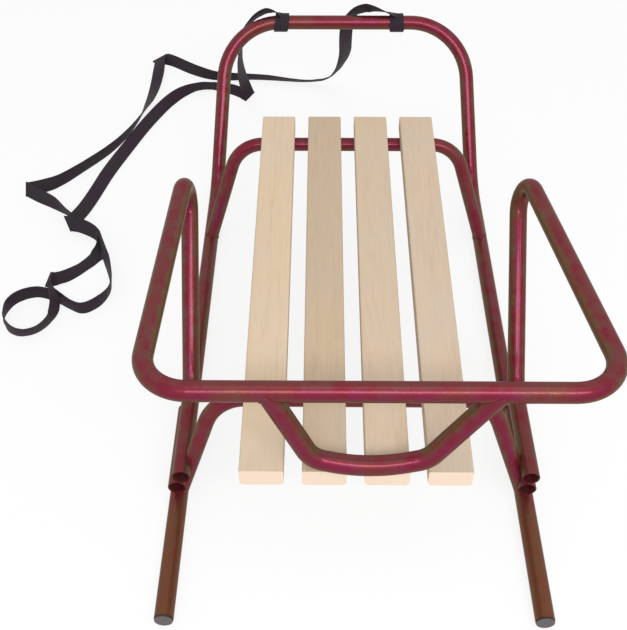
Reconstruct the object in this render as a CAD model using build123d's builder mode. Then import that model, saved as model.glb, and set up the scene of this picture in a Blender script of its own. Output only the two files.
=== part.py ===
"""Child's sled: bent steel tube frame, four wooden slats, a backrest loop and a pull strap.

Millimetres, +Z up, +Y forward, +X to the rider's right. The origin is on the floor,
on the centre plane, under the middle of the frame's length.
"""
from build123d import *
import math
import os

os.makedirs("parts", exist_ok=True)

# Tube stock
TUBE_D = 20.0          # runners, socket tubes and backrest
BRACE_D = 18.0         # the two seat supports
WALL = 1.5
WELD_GAP = 0.2         # left between a coped end and the tube that it is welded to
TUBE_R = TUBE_D / 2
BRACE_R = BRACE_D / 2

# Runners and front arch, one bent tube
TRACK = 383.0          # between the runners' centre lines
LENGTH = 862.0         # over the whole frame
ARCH_RISE = 197.0      # top bar above the runners' centre lines
ARCH_SLOPE = 55.0      # degrees, side view
ARCH_LEAN = 17.5       # each leg comes in by this much at the top
RUNNER_BEND_R = 70.0
ARCH_CORNER_R = 85.0

# Seat
SLAT_COUNT = 4
SLAT_WIDTH = 43.5
SLAT_THICK = 23.0
SLAT_GAP = 18.0
SLAT_TOP_R = 2.0       # long edges of the top face
SLAT_BOTTOM_R = 4.5    # long edges of the bottom face
SEAT_LENGTH = 571.0
SEAT_TILT = 2.7        # degrees, front higher
SEAT_REAR_Z = 148.0    # top face at the rear end
SEAT_REAR_GAP = 83.0   # from the runners' rear ends to the slats' rear ends

# Seat supports, two inverted U tubes
BRACE_HALF = 147.5     # half width at the crossbar's corners
BRACE_RAKE = 43.0      # the feet stand this far behind the crossbar
BRACE_CORNER_R = 45.0
FRONT_OVERHANG = 19.0  # slat length in front of the front crossbar
REAR_OVERHANG = 114.0  # slat length behind the rear crossbar

# Backrest loop. It is racked to the right, and each shift is from the centre plane
FOOT_HALF = 189.0
FOOT_SHIFT = 3.5
FOOT_LENGTH = 120.0
FOOT_BEND_R = 60.0
APEX_HALF = 191.5
APEX_SHIFT = 3.0
APEX_Y = 25.0
APEX_Z = 246.0
APEX_R = 28.0
REAR_HALF = 223.5
REAR_SHIFT = 22.0
REAR_Y = -340.0
REAR_Z = 256.0
REAR_CORNER_R = 45.0

# Arc under the rear bar
ARC_CLEARANCE = 7.0    # from the slats' rear top edges up to the arc
ARC_KINK_HALF = 55.0   # half width at the two kinks
ARC_KINK_R = 26.0
ARC_LEG_SLOPE = 58.0   # degrees from level, above the kinks
ARC_BOTTOM_SLOPE = 14.0      # degrees from level, between the kinks
ARC_BOTTOM_R = 150.0
ARC_SETBACK = 14.0
ARC_SHIFT = 12.0       # to the right, at the kinks

# Sockets for a push handle, on the runners' rear
SOCKET_LENGTH = 111.0
SOCKET_REAR_GAP = 148.0

# Runner end plugs
PLUG_HEAD = 2.0
PLUG_STEM = 14.0
PLUG_LIP = 0.6         # the head's rim stays this far inside the tube's outside

# Pull strap and its wraps on the arch's top bar
STRAP_D = 8.0
LEFT_WRAP_X = -94.0    # the middle of each wrap
RIGHT_WRAP_X = 75.0
WRAP_WIDTH = 20.0
WRAP_THICK = 2.4
FLOOR = STRAP_D / 2    # the strap's centre where it lies on the floor
OVER = FLOOR + 2 * STRAP_D   # its centre where it lies on another strand

half_track = TRACK / 2
front_y = LENGTH / 2
rear_y = -front_y
runner_z = TUBE_R
arch_y = front_y - TUBE_R
arch_z = runner_z + ARCH_RISE
arch_half = half_track - ARCH_LEAN
arch_foot_y = arch_y - ARCH_RISE / math.tan(math.radians(ARCH_SLOPE))
tube_end_y = rear_y + PLUG_HEAD


def tube(points, radii, diameter, bore=True):
    """A tube along straight runs joined by arcs; one radius for each corner."""
    with BuildPart() as piece:
        with BuildLine() as path:
            if radii:
                FilletPolyline(*points, radius=radii)
            else:
                Line(points[0], points[-1])
        start = path.line @ 0
        with BuildSketch(Plane(origin=start, z_dir=path.line % 0)):
            Circle(diameter / 2)
            if bore:
                Circle(diameter / 2 - WALL, mode=Mode.SUBTRACT)
        sweep(path=path.line)
    return piece


def rod(start, end, radius):
    """A solid round bar between two points, used to cope the tubes that end on it."""
    axis = Vector(*end) - Vector(*start)
    with BuildPart() as bar:
        with BuildSketch(Plane(origin=start, z_dir=axis)):
            Circle(radius)
        extrude(amount=axis.length)
    return bar.part


def keep(piece, name):
    piece.part.label = name
    export_step(piece.part, f"parts/{name}.step")


# Runner tube
runner_points = [
    (-half_track, tube_end_y, runner_z),
    (-half_track, arch_foot_y, runner_z),
    (-arch_half, arch_y, arch_z),
    (arch_half, arch_y, arch_z),
    (half_track, arch_foot_y, runner_z),
    (half_track, tube_end_y, runner_z),
]
runner_radii = [RUNNER_BEND_R, ARCH_CORNER_R, ARCH_CORNER_R, RUNNER_BEND_R]
runner_tube = tube(runner_points, runner_radii, TUBE_D)
keep(runner_tube, "runner_tube")

# Socket tubes, lying on the runners
socket_z = runner_z + TUBE_D
socket_y = rear_y + SOCKET_REAR_GAP
socket_end_y = socket_y + SOCKET_LENGTH
SIDES = (("left", -1), ("right", 1))
for side, sign in SIDES:
    socket_ends = [
        (sign * half_track, socket_y, socket_z),
        (sign * half_track, socket_end_y, socket_z),
    ]
    socket = tube(socket_ends, None, TUBE_D)
    keep(socket, f"handle_socket_{side}")

# Backrest loop, its feet lying on the socket tubes
foot_bend_y = socket_y + FOOT_LENGTH
foot_places = []
for side, sign in SIDES:
    foot_x = sign * FOOT_HALF + FOOT_SHIFT
    aside = foot_x - sign * half_track
    foot_places.append((foot_x, socket_z + math.sqrt(TUBE_D**2 - aside**2)))
(left_foot_x, left_foot_z), (right_foot_x, right_foot_z) = foot_places
backrest_points = [
    (left_foot_x, socket_y, left_foot_z),
    (left_foot_x, foot_bend_y, left_foot_z),
    (APEX_SHIFT - APEX_HALF, APEX_Y, APEX_Z),
    (REAR_SHIFT - REAR_HALF, REAR_Y, REAR_Z),
    (REAR_SHIFT + REAR_HALF, REAR_Y, REAR_Z),
    (APEX_SHIFT + APEX_HALF, APEX_Y, APEX_Z),
    (right_foot_x, foot_bend_y, right_foot_z),
    (right_foot_x, socket_y, right_foot_z),
]
backrest_radii = [FOOT_BEND_R, APEX_R, REAR_CORNER_R, REAR_CORNER_R, APEX_R, FOOT_BEND_R]
backrest_loop = tube(backrest_points, backrest_radii, TUBE_D)
keep(backrest_loop, "backrest_loop")

# Arc under the rear bar, coped to it
arc_half_bend = math.radians(ARC_BOTTOM_SLOPE)
arc_bottom_z = SEAT_REAR_Z + ARC_CLEARANCE + TUBE_R
arc_point_z = arc_bottom_z - ARC_BOTTOM_R * (1 / math.cos(arc_half_bend) - 1)
arc_kink_z = arc_point_z + ARC_KINK_HALF * math.tan(arc_half_bend)
arc_reach = ARC_KINK_HALF + (REAR_Z - arc_kink_z) / math.tan(math.radians(ARC_LEG_SLOPE))
arc_lean = ARC_SETBACK / (REAR_Z - arc_point_z)   # backward for each unit of drop
arc_kink_y = REAR_Y - arc_lean * (REAR_Z - arc_kink_z)
arc_points = [
    (REAR_SHIFT - arc_reach, REAR_Y, REAR_Z),
    (ARC_SHIFT - ARC_KINK_HALF, arc_kink_y, arc_kink_z),
    (ARC_SHIFT, REAR_Y - ARC_SETBACK, arc_point_z),
    (ARC_SHIFT + ARC_KINK_HALF, arc_kink_y, arc_kink_z),
    (REAR_SHIFT + arc_reach, REAR_Y, REAR_Z),
]
backrest_arc = tube(arc_points, [ARC_KINK_R, ARC_BOTTOM_R, ARC_KINK_R], TUBE_D)
cope_r = TUBE_R + WELD_GAP
rear_bar = rod(
    (REAR_SHIFT - REAR_HALF, REAR_Y, REAR_Z),
    (REAR_SHIFT + REAR_HALF, REAR_Y, REAR_Z),
    cope_r,
)
with backrest_arc:
    add(rear_bar, mode=Mode.SUBTRACT)
keep(backrest_arc, "backrest_arc")

# Seat plane, through the slats' top faces
tilt = math.radians(SEAT_TILT)
seat_rear_y = rear_y + SEAT_REAR_GAP
seat_plane = Plane(
    origin=(0, seat_rear_y, SEAT_REAR_Z),
    x_dir=(1, 0, 0),
    z_dir=(0, -math.sin(tilt), math.cos(tilt)),
)


def under_seat(distance):
    """Centre of a crossbar that touches the slats, a distance along them from the rear."""
    point = seat_plane.from_local_coords(Vector(0, distance, -SLAT_THICK - BRACE_R))
    return point.Y, point.Z


# Slats
slat_pitch = SLAT_WIDTH + SLAT_GAP
for number in range(SLAT_COUNT):
    slat_x = (number - (SLAT_COUNT - 1) / 2) * slat_pitch
    with BuildPart() as slat:
        with BuildSketch(seat_plane) as top:
            with Locations((slat_x, SEAT_LENGTH / 2)):
                Rectangle(SLAT_WIDTH, SEAT_LENGTH)
        extrude(amount=-SLAT_THICK)
        along = Axis(seat_plane.origin, seat_plane.y_dir)
        upward = Axis(seat_plane.origin, seat_plane.z_dir)
        long_edges = slat.edges().filter_by(along).group_by(upward)
        fillet(long_edges[-1], SLAT_TOP_R)
        fillet(long_edges[0], SLAT_BOTTOM_R)
    keep(slat, f"slat_{number + 1}")

# Seat supports, coped to the runners and to what lies on them
BRACES = (
    # name, distance of the crossbar from the slats' rear ends
    ("front_support", SEAT_LENGTH - FRONT_OVERHANG),
    ("rear_support", REAR_OVERHANG),
)
copes = []
for (side, sign), (foot_x, foot_z) in zip(SIDES, foot_places):
    runner_x = sign * half_track
    runner_bar = rod((runner_x, rear_y, runner_z), (runner_x, arch_foot_y, runner_z), cope_r)
    socket_bar = rod((runner_x, socket_y, socket_z), (runner_x, socket_end_y, socket_z), cope_r)
    foot_bar = rod((foot_x, socket_y, foot_z), (foot_x, foot_bend_y, foot_z), cope_r)
    copes += [runner_bar, socket_bar, foot_bar]
for name, distance in BRACES:
    bar_y, bar_z = under_seat(distance)
    foot_y = bar_y - BRACE_RAKE
    brace_points = [
        (-half_track, foot_y, runner_z),
        (-BRACE_HALF, bar_y, bar_z),
        (BRACE_HALF, bar_y, bar_z),
        (half_track, foot_y, runner_z),
    ]
    brace = tube(brace_points, [BRACE_CORNER_R, BRACE_CORNER_R], BRACE_D)
    with brace:
        for bar in copes:
            add(bar, mode=Mode.SUBTRACT)
    with BuildPart() as support:
        add(brace.part.solids().sort_by(SortBy.VOLUME)[-1])
    keep(support, name)

# Runner end plugs
for side, sign in SIDES:
    with BuildPart() as plug:
        with BuildSketch(Plane(origin=(sign * half_track, rear_y, runner_z), z_dir=(0, 1, 0))):
            Circle(TUBE_R - PLUG_LIP)
        extrude(amount=PLUG_HEAD)
        with BuildSketch(Plane(origin=(sign * half_track, tube_end_y, runner_z), z_dir=(0, 1, 0))):
            Circle(TUBE_R - WALL)
        extrude(amount=PLUG_STEM)
    keep(plug, f"runner_plug_{side}")

# Wraps of the strap round the arch's top bar, the left one where the bar starts to bend
arch_core = tube(runner_points, runner_radii, TUBE_D, bore=False)
WRAPS = (
    # side, middle
    ("left", LEFT_WRAP_X),
    ("right", RIGHT_WRAP_X),
)
for side, wrap_x in WRAPS:
    wrap_start = (wrap_x - WRAP_WIDTH / 2, arch_y, arch_z)
    with BuildPart() as wrap:
        with BuildSketch(Plane(origin=wrap_start, z_dir=(1, 0, 0))):
            Circle(TUBE_R + WRAP_THICK)
        extrude(amount=WRAP_WIDTH)
        add(arch_core.part, mode=Mode.SUBTRACT)
    keep(wrap, f"strap_wrap_{side}")

# Pull strap: one length of webbing from the left wrap to the right one.
# It hangs ahead of the arch, folds on the floor and ends in a loose ring on the left.
# A round tube stands for the flat webbing.
wrap_exit_z = arch_z + TUBE_R
STRAP_ROUTE = [
    # x, y, z
    (LEFT_WRAP_X, arch_y, wrap_exit_z),
    (LEFT_WRAP_X - 7, arch_y, wrap_exit_z + 15),
    (-116, 427, 232),
    (-134, 438, 213),
    (-151, 454, 168),
    (-163, 482, 105),
    (-171, 520, 52),
    (-169, 538, 24),
    (-157, 550, 5),
    (-172, 567, FLOOR),
    (-212, 578, FLOOR),
    (-248, 571, FLOOR),
    (-276, 548, FLOOR),
    (-302, 497, FLOOR),
    (-329, 433, FLOOR),
    (-353, 363, FLOOR),
    (-372, 294, FLOOR),
    (-385, 247, 10),
    (-396, 214, OVER),
    (-377, 195, OVER),
    (-358, 173, OVER),
    (-346, 143, OVER),
    (-334, 112, 12),
    (-325, 84, FLOOR),
    (-323, 57, FLOOR),
    (-333, 32, FLOOR),
    (-352, 24, FLOOR),
    (-376, 35, FLOOR),
    (-408, 55, FLOOR),
    (-432, 51, FLOOR),
    (-450, 33, FLOOR),
    (-455, 6, FLOOR),
    (-443, -18, FLOOR),
    (-421, -29, FLOOR),
    (-400, -17, FLOOR),
    (-389, 8, 6),
    (-391, 38, OVER),
    (-402, 66, OVER),
    (-408, 78, 16),
    (-403, 87, 9),
    (-390, 82, 5),
    (-373, 90, FLOOR),
    (-359, 113, FLOOR),
    (-348, 144, FLOOR),
    (-360, 172, FLOOR),
    (-380, 194, FLOOR),
    (-402, 214, FLOOR),
    (-430, 237, FLOOR),
    (-463, 256, FLOOR),
    (-481, 270, FLOOR),
    (-473, 285, FLOOR),
    (-450, 300, FLOOR),
    (-420, 329, FLOOR),
    (-387, 373, FLOOR),
    (-357, 421, FLOOR),
    (-342, 460, FLOOR),
    (-331, 498, FLOOR),
    (-322, 547, FLOOR),
    (-319, 600, FLOOR),
    (-326, 638, FLOOR),
    (-323, 656, FLOOR),
    (-307, 658, FLOOR),
    (-285, 641, FLOOR),
    (-253, 618, FLOOR),
    (-216, 611, FLOOR),
    (-169, 608, FLOOR),
    (-119, 602, FLOOR),
    (-72, 591, FLOOR),
    (-40, 590, 7),
    (-18, 565, 38),
    (-4, 522, 94),
    (2, 476, 160),
    (11, 448, 206),
    (29, 433, 231),
    (49, 425, 239),
    (RIGHT_WRAP_X - 8, arch_y, wrap_exit_z + 17),
    (RIGHT_WRAP_X, arch_y, wrap_exit_z),
]
BEND_SHARE = 0.45      # of the shorter run, taken up by each bend


def bend_radii(points):
    """The largest radius that each corner's two runs allow."""
    places = [Vector(*point) for point in points]
    radii = []
    for before, corner, after in zip(places, places[1:], places[2:]):
        run_in = corner - before
        run_out = after - corner
        half_turn = math.radians(run_in.get_angle(run_out)) / 2
        shorter = min(run_in.length, run_out.length)
        radii.append(BEND_SHARE * shorter / math.tan(half_turn))
    return radii


strap_radii = bend_radii(STRAP_ROUTE)
with BuildPart() as pull_strap:
    with BuildLine() as strap_path:
        FilletPolyline(*STRAP_ROUTE, radius=strap_radii)
    strap_line = strap_path.wire()
    with BuildSketch(Plane(origin=strap_line @ 0, z_dir=strap_line % 0)):
        Circle(STRAP_D / 2)
    sweep(path=strap_line)
    for side, wrap_x in WRAPS:
        wrap_ends = (
            (wrap_x - WRAP_WIDTH, arch_y, arch_z),
            (wrap_x + WRAP_WIDTH, arch_y, arch_z),
        )
        add(rod(*wrap_ends, TUBE_R + WRAP_THICK), mode=Mode.SUBTRACT)
keep(pull_strap, "pull_strap")

strap_section = math.pi * (STRAP_D / 2) ** 2
print("strap radii", [round(radius, 1) for radius in strap_radii])
print("strap length", round(strap_line.length, 1))
print("strap volume over section times length",
      round(pull_strap.part.volume / (strap_section * strap_line.length), 4))
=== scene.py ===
"""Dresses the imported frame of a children's sled: paint, planed slats, webbing strap and stage.

Every length is in metres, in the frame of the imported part: +Y forward, +Z up.
"""

import math

import bpy
import numpy as np
from bpy.props import FloatProperty, FloatVectorProperty, PointerProperty
from mathutils import Matrix, Vector


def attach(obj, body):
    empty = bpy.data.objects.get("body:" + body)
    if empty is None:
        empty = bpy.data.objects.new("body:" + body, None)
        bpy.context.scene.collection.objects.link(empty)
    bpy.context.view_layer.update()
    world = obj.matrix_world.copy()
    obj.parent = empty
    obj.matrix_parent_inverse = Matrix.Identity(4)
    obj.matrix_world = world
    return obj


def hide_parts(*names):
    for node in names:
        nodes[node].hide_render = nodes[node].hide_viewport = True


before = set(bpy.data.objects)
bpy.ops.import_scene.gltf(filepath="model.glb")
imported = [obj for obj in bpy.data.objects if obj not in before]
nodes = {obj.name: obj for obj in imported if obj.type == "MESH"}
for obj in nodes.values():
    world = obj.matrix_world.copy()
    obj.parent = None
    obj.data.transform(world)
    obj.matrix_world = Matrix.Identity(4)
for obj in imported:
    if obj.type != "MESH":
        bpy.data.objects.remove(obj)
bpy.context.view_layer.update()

bl_info = {
    "name": "Tube sled dressing",
    "version": (1, 0, 0),
    "blender": (4, 5, 0),
    "location": "View3D > Sidebar > Sled",
    "description": "Paint, wood, webbing, weld beads and stage for a children's tube sled",
    "category": "Object",
}

BODY = "root"
MM = 0.001
PHOTO_WIDTH_PX = 627

TUBE_NODES = (
    "runner_tube",
    "handle_socket_left",
    "handle_socket_right",
    "backrest_loop",
    "backrest_arc",
    "front_support",
    "rear_support",
)
SLAT_NODES = ("slat_1", "slat_2", "slat_3", "slat_4")
PLUG_NODES = ("runner_plug_left", "runner_plug_right")


def colour_setting(name, description, default):
    """One opaque colour that a user can change."""
    return FloatVectorProperty(
        name=name,
        description=description,
        subtype="COLOR",
        size=4,
        min=0,
        max=1,
        default=(*default, 1),
    )


def length_setting(name, description, default, low, high):
    """One length in metres that a user can change."""
    return FloatProperty(
        name=name, description=description, default=default, min=low, max=high, unit="LENGTH"
    )


def number_setting(name, description, default, low, high, measure="NONE"):
    """One number that a user can change."""
    return FloatProperty(
        name=name, description=description, default=default, min=low, max=high, unit=measure
    )


def share_setting(name, description, default):
    """One share from 0 to 1 that a user can change."""
    return FloatProperty(
        name=name, description=description, default=default, min=0, max=1, subtype="FACTOR"
    )


def angle_setting(name, description, degrees):
    """One angle that a user can change."""
    return FloatProperty(
        name=name, description=description, default=math.radians(degrees), subtype="ANGLE"
    )


class SledPaint(bpy.types.PropertyGroup):
    """Colours of the sprayed metallic paint on the tubes."""

    crimson: colour_setting("Crimson", "Paint on the tubes' fore and aft faces", (0.175, 0.011, 0.026))
    rose: colour_setting("Rose patches", "Lighter flake among the crimson", (0.185, 0.013, 0.050))
    # The browner colour, with its olive patches, is partly a painted sheen: where the tubes face sideways,
    # upwards and downwards it stands for the paint's colour flip at a slant; it also follows a slow drift
    # along the tubes
    brown_sheen_and_tone: colour_setting("Brown", "Paint on top and down the flanks", (0.152, 0.052, 0.018))
    olive: colour_setting("Olive patches", "Greener flake among the brown", (0.115, 0.073, 0.028))
    speck: colour_setting("Specks", "Dark specks between the flakes", (0.08, 0.02, 0.03))
    edge_tint: colour_setting("Edge tint", "Colour of the sheen along the edges", (0.40, 0.34, 0.24))
    speck_strength: share_setting("Speck strength", "How much the dark specks show", 0.22)
    mottle_size: length_setting(
        "Mottle size", "Width of one patch of the uneven flake", 0.004, 0.0005, 0.05
    )


class SledSlats(bpy.types.PropertyGroup):
    """Colours of the planed slats."""

    pale: colour_setting("Pale wood", "Early wood between the grain lines", (0.640, 0.490, 0.334))
    grain: colour_setting("Grain line", "Late wood, the darker lines", (0.530, 0.387, 0.253))
    hair: colour_setting("Hair line", "Finest and darkest lines in the wood", (0.46, 0.32, 0.21))
    grey: colour_setting("Grey patch", "Patches where the wood has greyed", (0.56, 0.50, 0.42))
    # The end colour is end grain with its rings and pores, and partly painted light: it is paler than the
    # tops for the brightness of the ends that face the lamp
    end: colour_setting("End grain", "Sawn ends of the slats", (0.745, 0.600, 0.478))
    ring: colour_setting("Year ring", "Darker rings on the sawn ends", (0.80, 0.58, 0.42))
    pore: colour_setting("Pores", "Open pores on the sawn ends", (0.74, 0.55, 0.42))


class SledStrap(bpy.types.PropertyGroup):
    """Sizes and colours of the webbing pull strap."""

    width: length_setting("Width", "Width of the webbing", 0.020, 0.005, 0.05)
    thickness: length_setting("Thickness", "Thickness of the webbing", 0.0015, 0.0005, 0.005)
    rib_pitch: length_setting("Rib pitch", "From one woven rib to the next", 0.0022, 0.0005, 0.01)
    cord_pitch: length_setting("Cord pitch", "From one long cord to the next", 0.00253, 0.0005, 0.01)
    wrap_turns: number_setting("Turns", "Turns of each wrap round the bar", 1.75, 1, 5)
    bar_radius: length_setting("Bar", "Radius of the bar that the wraps go round", 0.010, 0.003, 0.03)
    # Painted shade: the dark thread is the colour of the weave's hollows, and the light thread that of its
    # ribs
    dark: colour_setting("Dark thread", "Threads in the weave's hollows", (0.006, 0.005, 0.007))
    light: colour_setting("Light thread", "Threads on the weave's ribs", (0.034, 0.026, 0.032))
    faded: colour_setting("Faded thread", "Stretches where the ribs are redder", (0.044, 0.015, 0.036))
    fuzz: colour_setting("Fuzz", "Loose fibres on the weave", (0.045, 0.038, 0.046))


class SledPlugs(bpy.types.PropertyGroup):
    """Colours of the moulded end plugs."""

    plastic: colour_setting("Plastic", "Grey plastic of the runner plugs", (0.075, 0.066, 0.066))
    scuff: colour_setting("Scuffs", "Paler scuffed patches", (0.095, 0.090, 0.090))
    # Painted shade: the rim colour darkens the plugs where their rim turns away from the rear
    rim_shade: colour_setting("Rim", "Grimy plastic round the plugs' rims", (0.022, 0.014, 0.010))


class SledStage(bpy.types.PropertyGroup):
    """Camera, light and floor of the photographer's stage."""

    focal_px: number_setting(
        "Focal length", "In pixels of an image as wide as the photograph", 998.5, 100, 5000
    )
    camera_place: FloatVectorProperty(
        name="Camera",
        description="Where the camera stands",
        subtype="TRANSLATION",
        size=3,
        default=(-0.0350, -0.9281, 0.9317),
    )
    pitch: angle_setting("Pitch", "How far the camera looks down", 44.573)
    yaw: angle_setting("Yaw", "How far the camera turns to the right", -0.573)
    roll: angle_setting("Roll", "How far the camera leans to its left", -0.168)
    lamp_power: number_setting(
        "Lamp power", "Power of the soft lamp behind the camera", 25.0, 0, 500, "POWER"
    )
    room_light: number_setting("Room light", "Strength of the even light all round", 0.76, 0, 3)
    floor_side: length_setting("Floor", "Length of the floor's side", 14.0, 4, 40)
    floor_white: share_setting("Floor white", "How pale the floor's paper is", 0.84)
    floor_glow: share_setting("Floor glow", "Share of plain white in the floor that is seen", 0.84)


def unit(v):
    """Each row divided by its length."""
    return v / np.maximum(np.linalg.norm(v, axis=-1, keepdims=True), 1e-12)


def distance_gone(points):
    """How far each point lies along the line that joins them all."""
    return np.r_[0, np.cumsum(np.linalg.norm(np.diff(points, axis=0), axis=1))]


def surface(name, points, close_u=False, close_v=False, caps=False, uv=None):
    """A mesh from a grid of points, shape (rows, columns, 3).

    Row i and column j give vertex i * columns + j. Each quad joins (i, j), (i, j+1),
    (i+1, j+1) and (i+1, j); the last row or column joins the first where closed. Caps
    close the first and the last row with one face each. uv is a grid of the same shape
    with two numbers per vertex.
    """
    rows, columns = points.shape[:2]
    i = np.arange(rows if close_u else rows - 1)
    j = np.arange(columns if close_v else columns - 1)
    i, j = (a.ravel() for a in np.meshgrid(i, j, indexing="ij"))
    i2, j2 = (i + 1) % rows, (j + 1) % columns
    quads = np.stack([i * columns + j, i * columns + j2, i2 * columns + j2, i2 * columns + j], axis=1)
    corners = quads.ravel()
    starts = np.arange(0, quads.size, 4)
    if caps:
        ring = np.arange(columns)
        corners = np.concatenate([corners, ring[::-1], (rows - 1) * columns + ring])
        starts = np.concatenate([starts, quads.size + columns * np.arange(2)])
    mesh = bpy.data.meshes.new(name)
    mesh.vertices.add(rows * columns)
    mesh.vertices.foreach_set("co", points.reshape(-1).astype(np.float32))
    mesh.loops.add(len(corners))
    mesh.loops.foreach_set("vertex_index", corners.astype(np.int32))
    mesh.polygons.add(len(starts))
    mesh.polygons.foreach_set("loop_start", starts.astype(np.int32))
    mesh.polygons.foreach_set("use_smooth", np.arange(len(starts)) < len(quads))
    if uv is not None:
        layer = mesh.uv_layers.new(name="UVMap")
        layer.data.foreach_set("uv", uv.reshape(-1, 2)[corners].ravel().astype(np.float32))
    mesh.update(calc_edges=True)
    mesh.validate()
    return mesh


def place(name, mesh, material):
    """An object at the origin that rides on the sled and takes the named finish."""
    piece = bpy.data.objects.new(name, mesh)
    bpy.context.scene.collection.objects.link(piece)
    mesh.materials.append(material)
    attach(piece, BODY)
    return piece


def paint_node(name, material):
    """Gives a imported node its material."""
    mesh = nodes[name].data
    mesh.materials.clear()
    mesh.materials.append(material)


def fresh_material(name):
    """A node material with a Principled BSDF, its tree and the shader."""
    material = bpy.data.materials.new(name)
    material.use_nodes = True
    tree = material.node_tree
    return material, tree, tree.nodes["Principled BSDF"]


def link(tree, out_socket, in_socket):
    """Joins two sockets."""
    tree.links.new(out_socket, in_socket)


def feed(tree, socket, value):
    """Gives an input socket either another socket's output or a plain value."""
    if isinstance(value, bpy.types.NodeSocket):
        link(tree, value, socket)
    elif hasattr(value, "__len__"):
        socket.default_value = tuple(value)
    else:
        socket.default_value = value


def add_node(tree, kind, **values):
    """A node with plain values; an underscore in a keyword is a space in the socket's label."""
    node = tree.nodes.new(kind)
    set_values(node, **values)
    return node


def set_values(node, **values):
    """Plain values for a node's sockets, named as in add_node."""
    for label, value in values.items():
        node.inputs[label.replace("_", " ")].default_value = value


def object_point(tree, shift=(0, 0, 0), stretch=(1, 1, 1)):
    """The point on the piece, in metres, stretched and then shifted."""
    where = tree.nodes.new("ShaderNodeTexCoord")
    mapping = add_node(tree, "ShaderNodeMapping", Location=shift, Scale=stretch)
    link(tree, where.outputs["Object"], mapping.inputs["Vector"])
    return mapping.outputs["Vector"]


def axes(tree, vector):
    """The X, Y and Z outputs of a vector."""
    parts = tree.nodes.new("ShaderNodeSeparateXYZ")
    link(tree, vector, parts.inputs[0])
    return parts.outputs


def noise(tree, point, scale, detail=2.0, roughness=0.5):
    """Smooth noise from 0 to 1 at the point."""
    node = add_node(tree, "ShaderNodeTexNoise", Scale=scale, Detail=detail, Roughness=roughness)
    link(tree, point, node.inputs["Vector"])
    return node.outputs["Fac"]


def span(tree, value, low, high, out_low=0.0, out_high=1.0):
    """value carried from low..high to out_low..out_high, clamped."""
    node = add_node(
        tree, "ShaderNodeMapRange", From_Min=low, From_Max=high, To_Min=out_low, To_Max=out_high
    )
    link(tree, value, node.inputs["Value"])
    return node.outputs["Result"]


def blend_colour(tree, factor, first, second, mode="MIX"):
    """first blended towards second by factor; each is a colour or a socket."""
    node = tree.nodes.new("ShaderNodeMix")
    node.data_type = "RGBA"
    node.blend_type = mode
    for socket, value in ((node.inputs[0], factor), (node.inputs[6], first), (node.inputs[7], second)):
        feed(tree, socket, value)
    return node.outputs[2]


def arithmetic(tree, operation, first, second=0.0):
    """The result of one operation on two numbers; each is a value or a socket."""
    node = tree.nodes.new("ShaderNodeMath")
    node.operation = operation
    feed(tree, node.inputs[0], first)
    feed(tree, node.inputs[1], second)
    return node.outputs[0]


def bump(tree, height, strength, distance):
    """A normal that rises and falls with height, by up to distance."""
    node = add_node(tree, "ShaderNodeBump", Strength=strength, Distance=distance)
    link(tree, height, node.inputs["Height"])
    return node.outputs["Normal"]


def make_group(name, inputs, outputs):
    """An empty shader node group with named number sockets, and its two end nodes."""
    group = bpy.data.node_groups.new(name, "ShaderNodeTree")
    for label, value in inputs:
        socket = group.interface.new_socket(label, in_out="INPUT", socket_type="NodeSocketFloat")
        socket.default_value = value
    for label in outputs:
        group.interface.new_socket(label, in_out="OUTPUT", socket_type="NodeSocketFloat")
    return group, group.nodes.new("NodeGroupInput"), group.nodes.new("NodeGroupOutput")


MOTTLE_PARTS = (
    # input, output, where the noise starts and stops to count
    ("Coarse", "Patches", 0.35, 0.65),
    ("Fine", "Specks", 0.3, 0.7),
)


def mottle_group():
    """Uneven patches and specks: a coarse and a fine noise, each spread to 0..1."""
    group, start, end = make_group(
        "Sled mottle", [("Coarse", 60.0), ("Fine", 900.0)], ["Patches", "Specks"]
    )
    point = object_point(group)
    for label, out_label, low, high in MOTTLE_PARTS:
        node = add_node(group, "ShaderNodeTexNoise", Detail=3.0)
        link(group, point, node.inputs["Vector"])
        link(group, start.outputs[label], node.inputs["Scale"])
        link(group, span(group, node.outputs["Fac"], low, high), end.inputs[out_label])
    return group


def mottle(tree, coarse, fine):
    """The shared mottle at its two scales: its patches and its specks."""
    node = tree.nodes.new("ShaderNodeGroup")
    node.node_tree = bpy.data.node_groups["Sled mottle"]
    set_values(node, Coarse=coarse, Fine=fine)
    return node.outputs["Patches"], node.outputs["Specks"]


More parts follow.
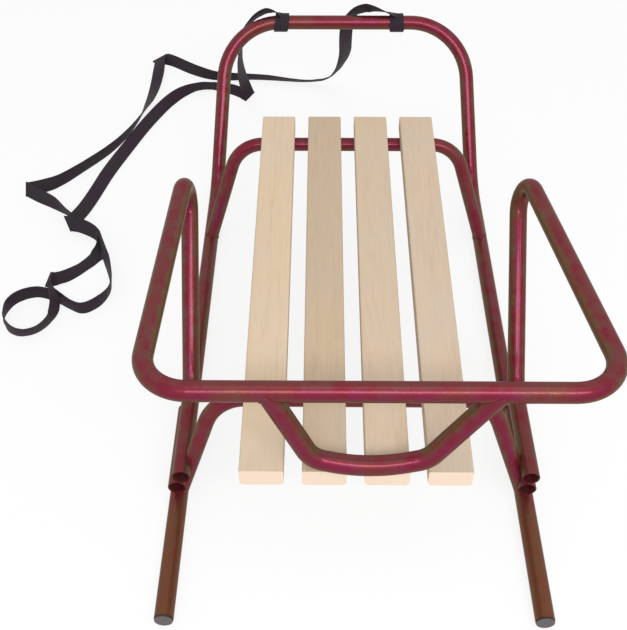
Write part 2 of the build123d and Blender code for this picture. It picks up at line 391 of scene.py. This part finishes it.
def tube_paint(look):
    """Metallic maroon lacquer: crimson fore and aft, browner on top and down the flanks.

    Where the browner tone follows which way the surface faces, it is a painted sheen that
    stands for the paint's colour flip seen at a slant. Its share is the greatest of five: how
    far the surface faces sideways, up and down, a slow drift along the tubes, and the
    runners' tails behind the backrest. The first three, the painted sheen, wander with the
    patches.
    """
    material, tree, shader = fresh_material("Tube paint")
    patches, specks = mottle(tree, coarse=0.25 / look.mottle_size, fine=3.0 / look.mottle_size)
    where = tree.nodes.new("ShaderNodeTexCoord")
    facing = axes(tree, where.outputs["Normal"])
    spot = axes(tree, where.outputs["Object"])
    wander = span(tree, patches, 0, 1, out_low=-0.15, out_high=0.15)
    sideways = arithmetic(tree, "ADD", arithmetic(tree, "ABSOLUTE", facing["X"]), wander)
    upward = arithmetic(tree, "ADD", facing["Z"], wander)
    drift = noise(tree, object_point(tree), scale=13.0)
    behind = span(tree, spot["Y"], low=-0.27, high=-0.31)
    tail = arithmetic(tree, "MULTIPLY", behind, span(tree, spot["Z"], low=0.05, high=0.03))
    # Painted sheen: facing sideways, upwards and downwards turns the paint browner, standing for its colour
    # flip at a slant
    share = span(tree, sideways, low=0.30, high=0.85)
    for mask in (
        span(tree, upward, low=0.78, high=1.0, out_high=0.42),
        span(tree, upward, low=0.15, high=-0.5),
        span(tree, drift, low=0.50, high=0.68, out_high=0.55),
        span(tree, tail, low=0, high=1, out_high=0.9),
    ):
        share = arithmetic(tree, "MAXIMUM", share, mask)
    olive = arithmetic(tree, "MULTIPLY", patches, span(tree, tail, 0, 1, out_low=1.0, out_high=0.35))
    brown_sheen_and_tone = blend_colour(tree, olive, look.brown_sheen_and_tone, look.olive)
    crimson = blend_colour(tree, patches, look.crimson, look.rose)
    colour = blend_colour(tree, share, crimson, brown_sheen_and_tone)
    dark = span(tree, specks, 0, 1, out_high=look.speck_strength)
    link(tree, blend_colour(tree, dark, colour, look.speck), shader.inputs["Base Color"])
    link(tree, span(tree, specks, 0, 1, out_low=0.32, out_high=0.44), shader.inputs["Roughness"])
    link(tree, bump(tree, specks, strength=0.12, distance=0.0004), shader.inputs["Normal"])
    set_values(shader, Metallic=0.55, Specular_IOR_Level=0.15, Specular_Tint=look.edge_tint)
    set_values(shader, Coat_Weight=0.22, Coat_Roughness=0.09)
    return material


SLAT_TONES = (
    # each slat's own cast, which multiplies the wood's colour: slat 1 to slat 4
    (1.00, 1.00, 1.00, 1),
    (0.80, 0.79, 0.785, 1),
    (0.90, 0.907, 0.934, 1),
    (0.91, 0.917, 0.975, 1),
)
GRAIN_STRETCH = (1.0, 0.045, 1.0)
HEART_DEPTH = 0.03


def slat_wood(look, number, tone):
    """Planed pale wood: long grain streaks, soft grey patches, end grain on the two sawn ends, whose paler
    tone is partly painted light.

    The streaks are three noises drawn out along the slat. The year rings run round a line
    below the slat. Both are shifted by the slat's number, so that no two slats are alike.
    """
    material, tree, shader = fresh_material(f"Slat wood {number}")
    log = object_point(tree, (number * 0.37, number * 1.31, number * 0.53), GRAIN_STRETCH)
    wide = noise(tree, log, scale=70.0, detail=3.0, roughness=0.55)
    streak = noise(tree, log, scale=420.0, detail=4.0, roughness=0.6)
    hair = noise(tree, log, scale=1500.0)
    patches, specks = mottle(tree, coarse=14.0, fine=260.0)
    late = span(tree, streak, low=0.42, high=0.72, out_high=0.7)
    grain = arithmetic(tree, "MULTIPLY", late, span(tree, wide, low=0.35, high=0.65, out_low=0.2))
    fine_lines = span(tree, hair, low=0.45, high=0.75, out_high=0.12)
    greyed = arithmetic(tree, "MULTIPLY", patches, 0.30)
    colour = blend_colour(tree, grain, look.pale, look.grain)
    colour = blend_colour(tree, fine_lines, colour, look.hair)
    colour = blend_colour(tree, greyed, colour, look.grey)
    colour = blend_colour(tree, 1.0, colour, tone, mode="MULTIPLY")
    rings = add_node(tree, "ShaderNodeTexWave", Scale=120.0, Distortion=2.0)
    rings.wave_type = "RINGS"
    rings.rings_direction = "Y"
    heart = object_point(tree, (0.02 * number - 0.03, 0, HEART_DEPTH))
    link(tree, heart, rings.inputs["Vector"])
    ring_share = span(tree, rings.outputs["Fac"], low=0.2, high=0.9, out_high=0.25)
    pore_share = span(tree, specks, low=0.4, high=1, out_high=0.30)
    end = blend_colour(tree, ring_share, look.end, look.ring)
    end = blend_colour(tree, pore_share, end, look.pore)
    where = tree.nodes.new("ShaderNodeTexCoord")
    endways = arithmetic(tree, "ABSOLUTE", axes(tree, where.outputs["Normal"])["Y"])
    # The sawn ends take the paler end colour: end grain, and partly painted light on the ends that face the
    # lamp
    sawn_end_and_light = span(tree, endways, low=0.80, high=0.95)
    link(tree, blend_colour(tree, sawn_end_and_light, colour, end), shader.inputs["Base Color"])
    link(tree, span(tree, streak, 0.3, 0.7, out_low=0.62, out_high=0.78), shader.inputs["Roughness"])
    link(tree, bump(tree, streak, strength=0.25, distance=0.0004), shader.inputs["Normal"])
    set_values(shader, Specular_IOR_Level=0.30)
    return material


def webbing(look):
    """Flat woven webbing, from the piece's own UV in metres: u along it and v across.

    The weave is 0.45 sin(2 pi u / rib pitch) + 0.55 sin(2 pi v / cord pitch), spread to 0..1. Its colour
    runs from the dark thread in the hollows to the light thread on the ribs: painted shade in the hollows,
    along with the bump that follows it.
    """
    material, tree, shader = fresh_material("Webbing")
    where = axes(tree, tree.nodes.new("ShaderNodeUVMap").outputs["UV"])
    waves = []
    for axis, pitch, height in (("X", look.rib_pitch, 0.45), ("Y", look.cord_pitch, 0.55)):
        phase = arithmetic(tree, "MULTIPLY", where[axis], 2 * math.pi / pitch)
        waves.append(arithmetic(tree, "MULTIPLY", arithmetic(tree, "SINE", phase), height))
    weave = span(tree, arithmetic(tree, "ADD", *waves), low=-1, high=1)
    fibres = noise(tree, object_point(tree), scale=350.0, detail=3.0)
    fading = noise(tree, object_point(tree), scale=16.0)
    light = blend_colour(tree, span(tree, fading, low=0.38, high=0.62), look.light, look.faded)
    # Painted shade: the colour darkens to the dark thread where the weave sinks
    colour = blend_colour(tree, weave, look.dark, light)
    loose = span(tree, fibres, low=0.5, high=0.8, out_high=0.35)
    link(tree, blend_colour(tree, loose, colour, look.fuzz), shader.inputs["Base Color"])
    link(tree, bump(tree, weave, strength=0.6, distance=0.0005), shader.inputs["Normal"])
    set_values(shader, Roughness=0.78, Specular_IOR_Level=0.25)
    set_values(shader, Sheen_Weight=0.06, Sheen_Roughness=0.4)
    return material


def plug_plastic(look):
    """Matte grey moulded plastic, scuffed, and darkened by painted shade where the rim turns away from the
    rear.
    """
    material, tree, shader = fresh_material("Plug plastic")
    patches, specks = mottle(tree, coarse=180.0, fine=1400.0)
    scuffed = span(tree, patches, 0, 1, out_high=0.5)
    colour = blend_colour(tree, scuffed, look.plastic, look.scuff)
    where = tree.nodes.new("ShaderNodeTexCoord")
    endways = arithmetic(tree, "ABSOLUTE", axes(tree, where.outputs["Normal"])["Y"])
    # Painted shade where the rim turns away from the rear
    rim_shade = span(tree, endways, low=0.95, high=0.80)
    link(tree, blend_colour(tree, rim_shade, colour, look.rim_shade), shader.inputs["Base Color"])
    link(tree, span(tree, specks, 0, 1, out_low=0.45, out_high=0.65), shader.inputs["Roughness"])
    link(tree, bump(tree, specks, strength=0.15, distance=0.0003), shader.inputs["Normal"])
    return material


# The strap's route from the left wrap to the right one: the middle of the webbing in
# millimetres and how it is turned, 0 on edge and 90 flat with its upper edge to the right.
FOLD = None
STRAP_ROUTE = [
    # x, y, z, turn in degrees
    (-94, 421, 218, -80),
    (-102, 422, 223, -58),
    (-113, 425, 225, -45),
    (-129, 430, 215, -60),
    (-147, 438, 193, -90),
    (-155, 448, 166, -120),
    (-162, 464, 133, -150),
    (-165, 484, 102, -155),
    (-166, 508, 69, -150),
    (-163, 534, 30, -145),
    (-157, 536, 9, FOLD),
    (-172, 546, 10, 15),
    (-188, 555, 11, 5),
    (-224, 568, 10, -20),
    (-251, 565, 10, -15),
    (-286, 532, 11, 35),
    (-320, 459, 8, 60),
    (-341, 396, 7, 65),
    (-363, 322, 9, 55),
    (-372, 280, 9, 50),
    (-381, 234, 12, 48),
    (-389, 203, 16, 55),
    (-399, 186, 17, FOLD),
    (-389, 180, 19, -60),
    (-378, 178, 20, -45),
    (-354, 162, 20, -20),
    (-345, 146, 17, -12),
    (-340, 130, 14, -20),
    (-332, 112, 11, -22),
    (-323, 83, 11, -12),
    (-319, 65, 11, -8),
    (-321, 47, 11, -10),
    (-332, 29, 11, 0),
    (-350, 15, 11, 0),
    (-368, 24, 11, 0),
    (-386, 39, 11, 10),
    (-402, 46, 11, 5),
    (-420, 50, 11, 0),
    (-442, 40, 11, 0),
    (-452, 23, 11, 0),
    (-453, 4, 11, -10),
    (-449, -6, 11, 0),
    (-442, -18, 11, 0),
    (-430, -27, 11, 10),
    (-418, -28, 10, 20),
    (-405, -23, 10, 20),
    (-397, -14, 10, 15),
    (-390, 0, 10, 5),
    (-385, 11, 17, -22),
    (-386, 24, 23, -35),
    (-393, 47, 20, -40),
    (-405, 71, 13, FOLD),
    (-396, 78, 9, -65),
    (-386, 88, 4, -70),
    (-367, 110, 1, -90),
    (-353, 128, 2, -85),
    (-345, 138, 9, -35),
    (-350, 160, 11, -8),
    (-364, 183, 10, -27),
    (-385, 203, 9, -32),
    (-408, 221, 10, -15),
    (-431, 243, 10, 18),
    (-458, 262, 8, 40),
    (-480, 278, 8, FOLD),
    (-455, 285, 9, -35),
    (-433, 295, 11, -8),
    (-405, 331, 10, 4),
    (-369, 379, 10, 8),
    (-347, 424, 10, 15),
    (-332, 474, 10, 28),
    (-325, 521, 6, 57),
    (-322, 570, 3, 75),
    (-320, 612, 9, 90),
    (-323, 661, 8, FOLD),
    (-302, 654, 9, -25),
    (-266, 622, 11, -18),
    (-238, 605, 11, -5),
    (-217, 598, 10, 10),
    (-187, 596, 10, 20),
    (-156, 598, 9, 30),
    (-124, 595, 9, 34),
    (-93, 590, 8, 43),
    (-62, 587, 7, 50),
    (-36, 579, 14, 58),
    (-15, 562, 34, 98),
    (-3, 543, 65, 112),
    (3, 512, 105, 104),
    (2, 486, 138, 95),
    (2, 464, 173, 90),
    (5, 447, 202, 85),
    (18, 436, 219, 45),
    (32, 429, 227, 28),
    (52, 424, 225, 55),
    (75, 421, 218, 80),
]

# Half of each fold's crease, from its middle to one end, in the order of the folds
CREASES = [
    # x, y, z
    (8, 5, 6),
    (-5, 8, 8),
    (4, 7, 7),
    (0, 8, 8),
    (13, 5, 5),
]

# Length left out on each side of a crease, beside the crease's own reach along the strap
FOLD_ROOM = 0.0015
# Radius and steps in degrees of the half round in which the webbing turns over
FOLD_BEND = 0.0012
FOLD_STEPS = (-80.0, -40.0, 0.0, 40.0, 80.0)
# Below this the webbing goes straight back on itself, so its two directions give no gap
STRAIGHT_BACK = 0.05
# The lowest that the webbing lies over the floor
FLOOR_GAP = 0.0002


def spline_points(points, per_run=12):
    """Points along the smooth curve that the route's points control: a NURBS spline of order 3."""
    curve = bpy.data.curves.new("strap_line", "CURVE")
    curve.dimensions = "3D"
    curve.resolution_u = per_run
    spline = curve.splines.new("NURBS")
    spline.points.add(len(points) - 1)
    spline.points.foreach_set("co", np.c_[points, np.ones(len(points))].ravel())
    spline.order_u = 3
    spline.use_endpoint_u = True
    holder = bpy.data.objects.new("strap_line", curve)
    mesh = bpy.data.meshes.new_from_object(holder)
    line = np.empty(len(mesh.vertices) * 3, dtype=np.float32)
    mesh.vertices.foreach_get("co", line)
    bpy.data.meshes.remove(mesh)
    bpy.data.objects.remove(holder)
    bpy.data.curves.remove(curve)
    return line.reshape(-1, 3).astype(float)


def ribbon_section(width, thickness, steps=5):
    """Outline of flat webbing with rounded edges: (across, through) pairs round the section."""
    half, r = width / 2, thickness / 2
    turn = np.linspace(-np.pi / 2, np.pi / 2, steps)
    right = np.stack([half - r + r * np.cos(turn), r * np.sin(turn)], axis=1)
    return np.concatenate([right, -right])


def stretch(line, route, turns, first, last):
    """Stations along one stretch between two folds.

    With a the unit direction of travel and u the upward direction, side = a x u and
    tall = side x a; the webbing's upper edge lies towards
    tall cos(turn) + side sin(turn). The turn runs from one route point to the next by
    the share of the length gone, and takes whichever half turn twists least. first and
    last are the crease vectors that the stretch starts and ends on, or None.
    """
    gone = distance_gone(line)
    legs = distance_gone(route)
    ahead = unit(np.gradient(line, axis=0))
    side = unit(np.cross(ahead, [0.0, 0.0, 1.0]))
    tall = np.cross(side, ahead)
    turns = np.array(turns, dtype=float)
    creased = [(index, crease) for index, crease in ((0, first), (-1, last)) if crease is not None]
    for index, crease in creased:
        turns[index] = math.atan2(crease @ side[index], crease @ tall[index])
    turns = np.unwrap(turns, period=np.pi)
    angle = np.interp(gone / gone[-1], legs / legs[-1], turns)[:, None]
    across = tall * np.cos(angle) + side * np.sin(angle)
    keep = np.ones(len(line), dtype=bool)
    for index, crease in creased:
        room = abs(crease @ ahead[index]) + FOLD_ROOM
        keep &= np.abs(gone - gone[index]) > room
    return line[keep], across[keep], np.cross(ahead, across)[keep], ahead[0], ahead[-1]


def fold(middle, crease, half, before, after):
    """Stations round a fold: the webbing turns over along the crease in a tight half round.

    before and after are the directions of travel. Their parts square to the crease are p
    and q; the layers open along p + q and the bend bulges along p - q. Where p + q is too
    short to say, the layers open along the webbing's own face.
    """
    along = unit(crease)
    p = unit(before - along * (before @ along))
    q = unit(after - along * (after @ along))
    bulge = unit(p - q)
    face = np.cross(p, along)
    gap = p + q
    gap = unit(gap) if np.linalg.norm(gap) > STRAIGHT_BACK else face
    gap = unit(gap - bulge * (gap @ bulge))
    sense = -1.0 if face @ gap > 0 else 1.0
    turn = np.radians(FOLD_STEPS)[:, None]
    outward = np.cos(turn) * bulge + np.sin(turn) * gap
    centre = middle + FOLD_BEND * outward
    across = np.repeat(crease[None] / half, len(turn), axis=0)
    return centre, across, sense * outward


def strap_stations(line, route, turns, creases, half):
    """Middle, across and through vectors of every station, stretch by stretch and fold by fold."""
    folds = [row for row, turn in enumerate(turns) if turn is FOLD]
    nearest = [int(np.argmin(np.linalg.norm(line - route[row], axis=1))) for row in folds]
    ends = [0, *nearest, len(line) - 1]
    rows = [0, *folds, len(route) - 1]
    line = line.copy()
    line[nearest] = route[folds]
    angles = np.radians([0 if turn is FOLD else turn for turn in turns])
    stations, previous, heading = [], None, None
    for number in range(len(rows) - 1):
        last = creases[number] if number < len(creases) else None
        run = line[ends[number]:ends[number + 1] + 1]
        part = slice(rows[number], rows[number + 1] + 1)
        middle, across, through, start, end = stretch(run, route[part], angles[part], previous, last)
        if previous is not None:
            if across[0] @ previous < 0:
                across, through = -across, -through
            stations.append(fold(route[rows[number]], previous, half, heading, start))
        stations.append((middle, across, through))
        heading = end
        previous = None if last is None else last * (1 if across[-1] @ last > 0 else -1)
    return [np.concatenate(part) for part in zip(*stations)], line


WRAPS = (
    # side, middle of the wrap along the bar, lean of the turns
    ("left", -0.0940, 0.0014),
    ("right", 0.0750, -0.0007),
)
# The bar's axis: its place forward and its height
BAR_Y = 0.421
BAR_Z = 0.207
# Height of the first turn's middle over the bar, in thicknesses of the webbing
FIRST_TURN = 0.6
# How far each turn slides beside the last, and how far the webbing billows
TURN_SLIDE = 0.0004
BILLOW = 0.0003


def wrap_turns(look, middle, lean, steps=150):
    """Webbing wound round the arch's bar: a flat spiral of radius r0 + t g / 2 pi.

    t runs over the turns and g is the webbing's thickness. The turns lean along the bar
    by lean cos t and slide by TURN_SLIDE sin(t / 2). The webbing stands out by
    BILLOW cos(2 pi across / width) sin 3t.
    """
    t = np.linspace(0, 2 * np.pi * look.wrap_turns, steps)
    radius = look.bar_radius + look.thickness * (FIRST_TURN + t / (2 * np.pi))
    section = ribbon_section(look.width, look.thickness)
    slide = lean * np.cos(t) + TURN_SLIDE * np.sin(t / 2)
    billow = BILLOW * np.cos(2 * np.pi * section[:, 0] / look.width) * np.sin(3 * t)[:, None]
    out = radius[:, None] + section[None, :, 1] + billow
    x = middle + slide[:, None] + section[None, :, 0]
    y = BAR_Y - out * np.sin(t)[:, None]
    z = BAR_Z + out * np.cos(t)[:, None]
    points = np.stack(np.broadcast_arrays(x, y, z), axis=-1)
    uv = np.stack(np.broadcast_arrays((radius * t)[:, None], section[None, :, 0]), axis=-1)
    return points, uv


# A bead's radius in millimetres, the share by which it swells, and how often on its way round
WELD_BEAD = 1.2
BEAD_SWELL = 0.06
BEAD_WAVES = 26
RUNNER_WAY = (0, 1, 0)
REAR_BAR_WAY = (1, 0, 0)
WELDS = (
    # name, point on the leg's axis, where it meets the bar's axis, leg's radius, bar's direction and radius
    ("front_left", (-147.5, 204.9, 142.0), (-191.5, 161.9, 10.0), 9, RUNNER_WAY, 10),
    ("front_right", (147.5, 204.9, 142.0), (191.5, 161.9, 10.0), 9, RUNNER_WAY, 10),
    ("arc_left", (-43.0, -352.0, 174.1), (-84.2, -340.0, 256.0), 10, REAR_BAR_WAY, 10),
    ("arc_right", (67.0, -352.0, 174.1), (128.2, -340.0, 256.0), 10, REAR_BAR_WAY, 10),
)


def bead_points(start, meeting, radius, bar, bar_radius, steps=180, sides=12):
    """A weld bead round the end of a slanting leg on a straight bar.

    A point of the leg's skin is c + r (cos a e + sin a f) + s d, with d the leg's
    direction. s is the nearer root of |its part square to the bar| = the bar's radius.
    The bead is a small round about that line, of radius
    WELD_BEAD (1 + BEAD_SWELL sin(BEAD_WAVES a)).
    """
    start, meeting, bar = (np.array(v, dtype=float) for v in (start, meeting, bar))
    d = unit(meeting - start)
    e = unit(np.cross(d, bar))
    f = np.cross(d, e)
    a = np.linspace(0, 2 * np.pi, steps, endpoint=False)[:, None]
    out = np.cos(a) * e + np.sin(a) * f
    skin = start + radius * out
    w = skin - meeting
    w = w - (w @ bar)[:, None] * bar
    g = d - (d @ bar) * bar
    half_b = w @ g
    root = np.sqrt(np.maximum(half_b**2 - g @ g * (np.sum(w * w, axis=1) - bar_radius**2), 0))
    line = skin + ((-half_b - root) / (g @ g))[:, None] * d
    ahead = unit(np.roll(line, -1, axis=0) - np.roll(line, 1, axis=0))
    up = unit(np.cross(ahead, out))
    out = np.cross(up, ahead)
    b = np.linspace(0, 2 * np.pi, sides, endpoint=False)[None, :, None]
    size = (WELD_BEAD * (1 + BEAD_SWELL * np.sin(BEAD_WAVES * a)))[:, None]
    return (line[:, None] + size * (np.cos(b) * out[:, None] + np.sin(b) * up[:, None])) * MM


class SLED_OT_tubes(bpy.types.Operator):
    """Sprays the tube frame with its metallic paint"""

    bl_idname = "sled.tubes"
    bl_label = "Tube paint"

    def execute(self, context):
        paint = tube_paint(context.scene.sled_paint)
        for name in TUBE_NODES:
            paint_node(name, paint)
        return {"FINISHED"}


class SLED_OT_welds(bpy.types.Operator):
    """Lays the painted weld beads round the legs' ends"""

    bl_idname = "sled.welds"
    bl_label = "Weld beads"

    def execute(self, context):
        paint = bpy.data.materials["Tube paint"]
        for name, *where in WELDS:
            mesh = surface(f"weld_{name}", bead_points(*where), close_u=True, close_v=True)
            place(f"weld_{name}", mesh, paint)
        return {"FINISHED"}


class SLED_OT_slats(bpy.types.Operator):
    """Gives each slat its own piece of planed wood"""

    bl_idname = "sled.slats"
    bl_label = "Slat wood"

    def execute(self, context):
        for number, (name, tone) in enumerate(zip(SLAT_NODES, SLAT_TONES), start=1):
            paint_node(name, slat_wood(context.scene.sled_slats, number, tone))
        return {"FINISHED"}


class SLED_OT_plugs(bpy.types.Operator):
    """Colours the moulded end plugs"""

    bl_idname = "sled.plugs"
    bl_label = "Runner plugs"

    def execute(self, context):
        plastic = plug_plastic(context.scene.sled_plugs)
        for name in PLUG_NODES:
            paint_node(name, plastic)
        return {"FINISHED"}


def lay_strap(look, cloth):
    """The loose strap from wrap to wrap, and the line that its middle follows."""
    route = np.array([row[:3] for row in STRAP_ROUTE], dtype=float) * MM
    turns = [row[3] for row in STRAP_ROUTE]
    times = [2 if turn is FOLD else 1 for turn in turns]
    line = spline_points(np.repeat(route, times, axis=0))
    creases = np.array(CREASES, dtype=float) * MM
    stations, line = strap_stations(line, route, turns, creases, look.width / 2)
    middle, across, through = stations
    section = ribbon_section(look.width, look.thickness)
    points = (
        middle[:, None]
        + across[:, None] * section[None, :, 0:1]
        + through[:, None] * section[None, :, 1:2]
    )
    points[..., 2] = np.maximum(points[..., 2], FLOOR_GAP)
    gone = distance_gone(middle)
    uv = np.stack(np.broadcast_arrays(gone[:, None], section[None, :, 0]), axis=-1)
    mesh = surface("pull_strap_webbing", points, close_v=True, caps=True, uv=uv)
    return place("pull_strap_webbing", mesh, cloth), line


class SLED_OT_strap(bpy.types.Operator):
    """Lays the webbing strap along its route and winds its ends round the bar"""

    bl_idname = "sled.strap"
    bl_label = "Pull strap"

    def execute(self, context):
        look = context.scene.sled_strap
        cloth = webbing(look)
        strap, line = lay_strap(look, cloth)
        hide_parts("pull_strap")
        for name, middle, lean in WRAPS:
            wound, uv = wrap_turns(look, middle, lean)
            mesh = surface(f"strap_turns_{name}", wound, close_v=True, caps=True, uv=uv)
            wrap = place(f"strap_turns_{name}", mesh, cloth)
            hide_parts(f"strap_wrap_{name}")
        return {"FINISHED"}


LAMPS = (
    # name, share of the power, width and height, place, turn in degrees
    ("Window", 1.0, (1.8, 0.45), (0.30, -1.60, 1.55), (49, 0, 10)),
    ("Ceiling", 0.2, (1.6, 0.7), (0.25, -0.35, 2.10), (-9, 7, 0)),
)
SENSOR_WIDTH_MM = 36.0
CLIP_START = 0.05
CLIP_END = 60.0
WHITE = (1, 1, 1, 1)


def camera_matrix(look):
    """The camera's axes from its pitch, yaw and roll, and its place."""
    right = Vector((math.cos(look.yaw), -math.sin(look.yaw), 0))
    level = Vector((math.sin(look.yaw), math.cos(look.yaw), 0))
    ahead = level * math.cos(look.pitch) - Vector((0, 0, math.sin(look.pitch)))
    up = right.cross(ahead)
    rolled_right = right * math.cos(look.roll) + up * math.sin(look.roll)
    rolled_up = up * math.cos(look.roll) - right * math.sin(look.roll)
    turn = Matrix((rolled_right, rolled_up, -ahead)).transposed().to_4x4()
    return Matrix.Translation(look.camera_place) @ turn


def seen_ray(tree):
    """1 for rays from the camera, from glossy surfaces or through glass."""
    path = tree.nodes.new("ShaderNodeLightPath")
    seen = arithmetic(tree, "MAXIMUM", path.outputs["Is Camera Ray"], path.outputs["Is Glossy Ray"])
    return arithmetic(tree, "MAXIMUM", seen, path.outputs["Is Transmission Ray"])


def mix_shaders(tree, factor, first, second, end):
    """Two shaders mixed by factor into the end node's surface."""
    mix = tree.nodes.new("ShaderNodeMixShader")
    link(tree, factor, mix.inputs[0])
    link(tree, first.outputs[0], mix.inputs[1])
    link(tree, second.outputs[0], mix.inputs[2])
    link(tree, mix.outputs[0], end.inputs["Surface"])


def floor_paper(look):
    """White paper: plain white where it is lit, and grey in the object's soft shadow."""
    material, tree, shader = fresh_material("Floor paper")
    white = look.floor_white
    set_values(shader, Base_Color=(white, white, white, 1), Roughness=0.9, Specular_IOR_Level=0.1)
    grain = noise(tree, object_point(tree), scale=220.0, detail=3.0)
    link(tree, bump(tree, grain, strength=0.05, distance=0.0005), shader.inputs["Normal"])
    glow = add_node(tree, "ShaderNodeEmission", Strength=1.0)
    share = arithmetic(tree, "MULTIPLY", seen_ray(tree), look.floor_glow)
    mix_shaders(tree, share, shader, glow, tree.nodes["Material Output"])
    return material


def room_light(tree, strength):
    """Even white light; seen directly it is plain white."""
    background = tree.nodes["Background"]
    set_values(background, Color=WHITE, Strength=strength)
    white = add_node(tree, "ShaderNodeBackground", Color=WHITE, Strength=1.0)
    mix_shaders(tree, seen_ray(tree), background, white, tree.nodes["World Output"])


class SLED_OT_stage(bpy.types.Operator):
    """Builds the floor, the lights and the camera"""

    bl_idname = "sled.stage"
    bl_label = "Stage"

    def execute(self, context):
        look = context.scene.sled_stage
        scene = context.scene
        side = look.floor_side / 2
        grid = np.linspace(-side, side, 3)
        x, y = np.meshgrid(grid, grid, indexing="ij")
        mesh = surface("floor", np.stack([x, y, np.zeros_like(x)], axis=-1))
        floor = bpy.data.objects.new("floor", mesh)
        scene.collection.objects.link(floor)
        mesh.materials.append(floor_paper(look))
        world = bpy.data.worlds.new("Room")
        scene.world = world
        world.use_nodes = True
        room_light(world.node_tree, look.room_light)
        for name, share, size, where, turn in LAMPS:
            lamp_data = bpy.data.lights.new(name, "AREA")
            lamp_data.shape = "RECTANGLE"
            lamp_data.size, lamp_data.size_y = size
            lamp_data.energy = look.lamp_power * share
            lamp = bpy.data.objects.new(name, lamp_data)
            lamp.location = where
            lamp.rotation_euler = [math.radians(angle) for angle in turn]
            scene.collection.objects.link(lamp)
        lens = bpy.data.cameras.new("Photo camera")
        lens.sensor_fit = "HORIZONTAL"
        lens.sensor_width = SENSOR_WIDTH_MM
        lens.lens = SENSOR_WIDTH_MM * look.focal_px / PHOTO_WIDTH_PX
        lens.clip_start = CLIP_START
        lens.clip_end = CLIP_END
        camera = bpy.data.objects.new("Photo camera", lens)
        scene.collection.objects.link(camera)
        camera.matrix_world = camera_matrix(look)
        scene.camera = camera
        scene.view_settings.view_transform = "Standard"
        return {"FINISHED"}


SETTINGS = (
    ("sled_paint", SledPaint),
    ("sled_slats", SledSlats),
    ("sled_strap", SledStrap),
    ("sled_plugs", SledPlugs),
    ("sled_stage", SledStage),
)
OPERATORS = (SLED_OT_tubes, SLED_OT_welds, SLED_OT_slats, SLED_OT_plugs, SLED_OT_strap, SLED_OT_stage)


class SLED_PT_panel(bpy.types.Panel):
    """Lists the sled's steps and settings"""

    bl_idname = "SLED_PT_panel"
    bl_label = "Sled"
    bl_space_type = "VIEW_3D"
    bl_region_type = "UI"
    bl_category = "Sled"

    def draw(self, context):
        for operator in OPERATORS:
            self.layout.operator(operator.bl_idname)
        for name, group in SETTINGS:
            box = self.layout.box()
            for key in group.__annotations__:
                box.prop(getattr(context.scene, name), key)


def register():
    """Adds the settings, the operators and the panel."""
    for name, group in SETTINGS:
        bpy.utils.register_class(group)
        setattr(bpy.types.Scene, name, PointerProperty(type=group))
    for operator in OPERATORS:
        bpy.utils.register_class(operator)
    bpy.utils.register_class(SLED_PT_panel)


def unregister():
    """Takes the panel, the operators and the settings away again."""
    bpy.utils.unregister_class(SLED_PT_panel)
    for operator in reversed(OPERATORS):
        bpy.utils.unregister_class(operator)
    for name, group in reversed(SETTINGS):
        delattr(bpy.types.Scene, name)
        bpy.utils.unregister_class(group)


def main():
    """Dresses the sled from first to last."""
    register()
    mottle_group()
    bpy.ops.sled.tubes()
    bpy.ops.sled.welds()
    bpy.ops.sled.slats()
    bpy.ops.sled.plugs()
    bpy.ops.sled.strap()
    bpy.ops.sled.stage()
    bpy.context.view_layer.update()


if __name__ == "__main__":
    main()
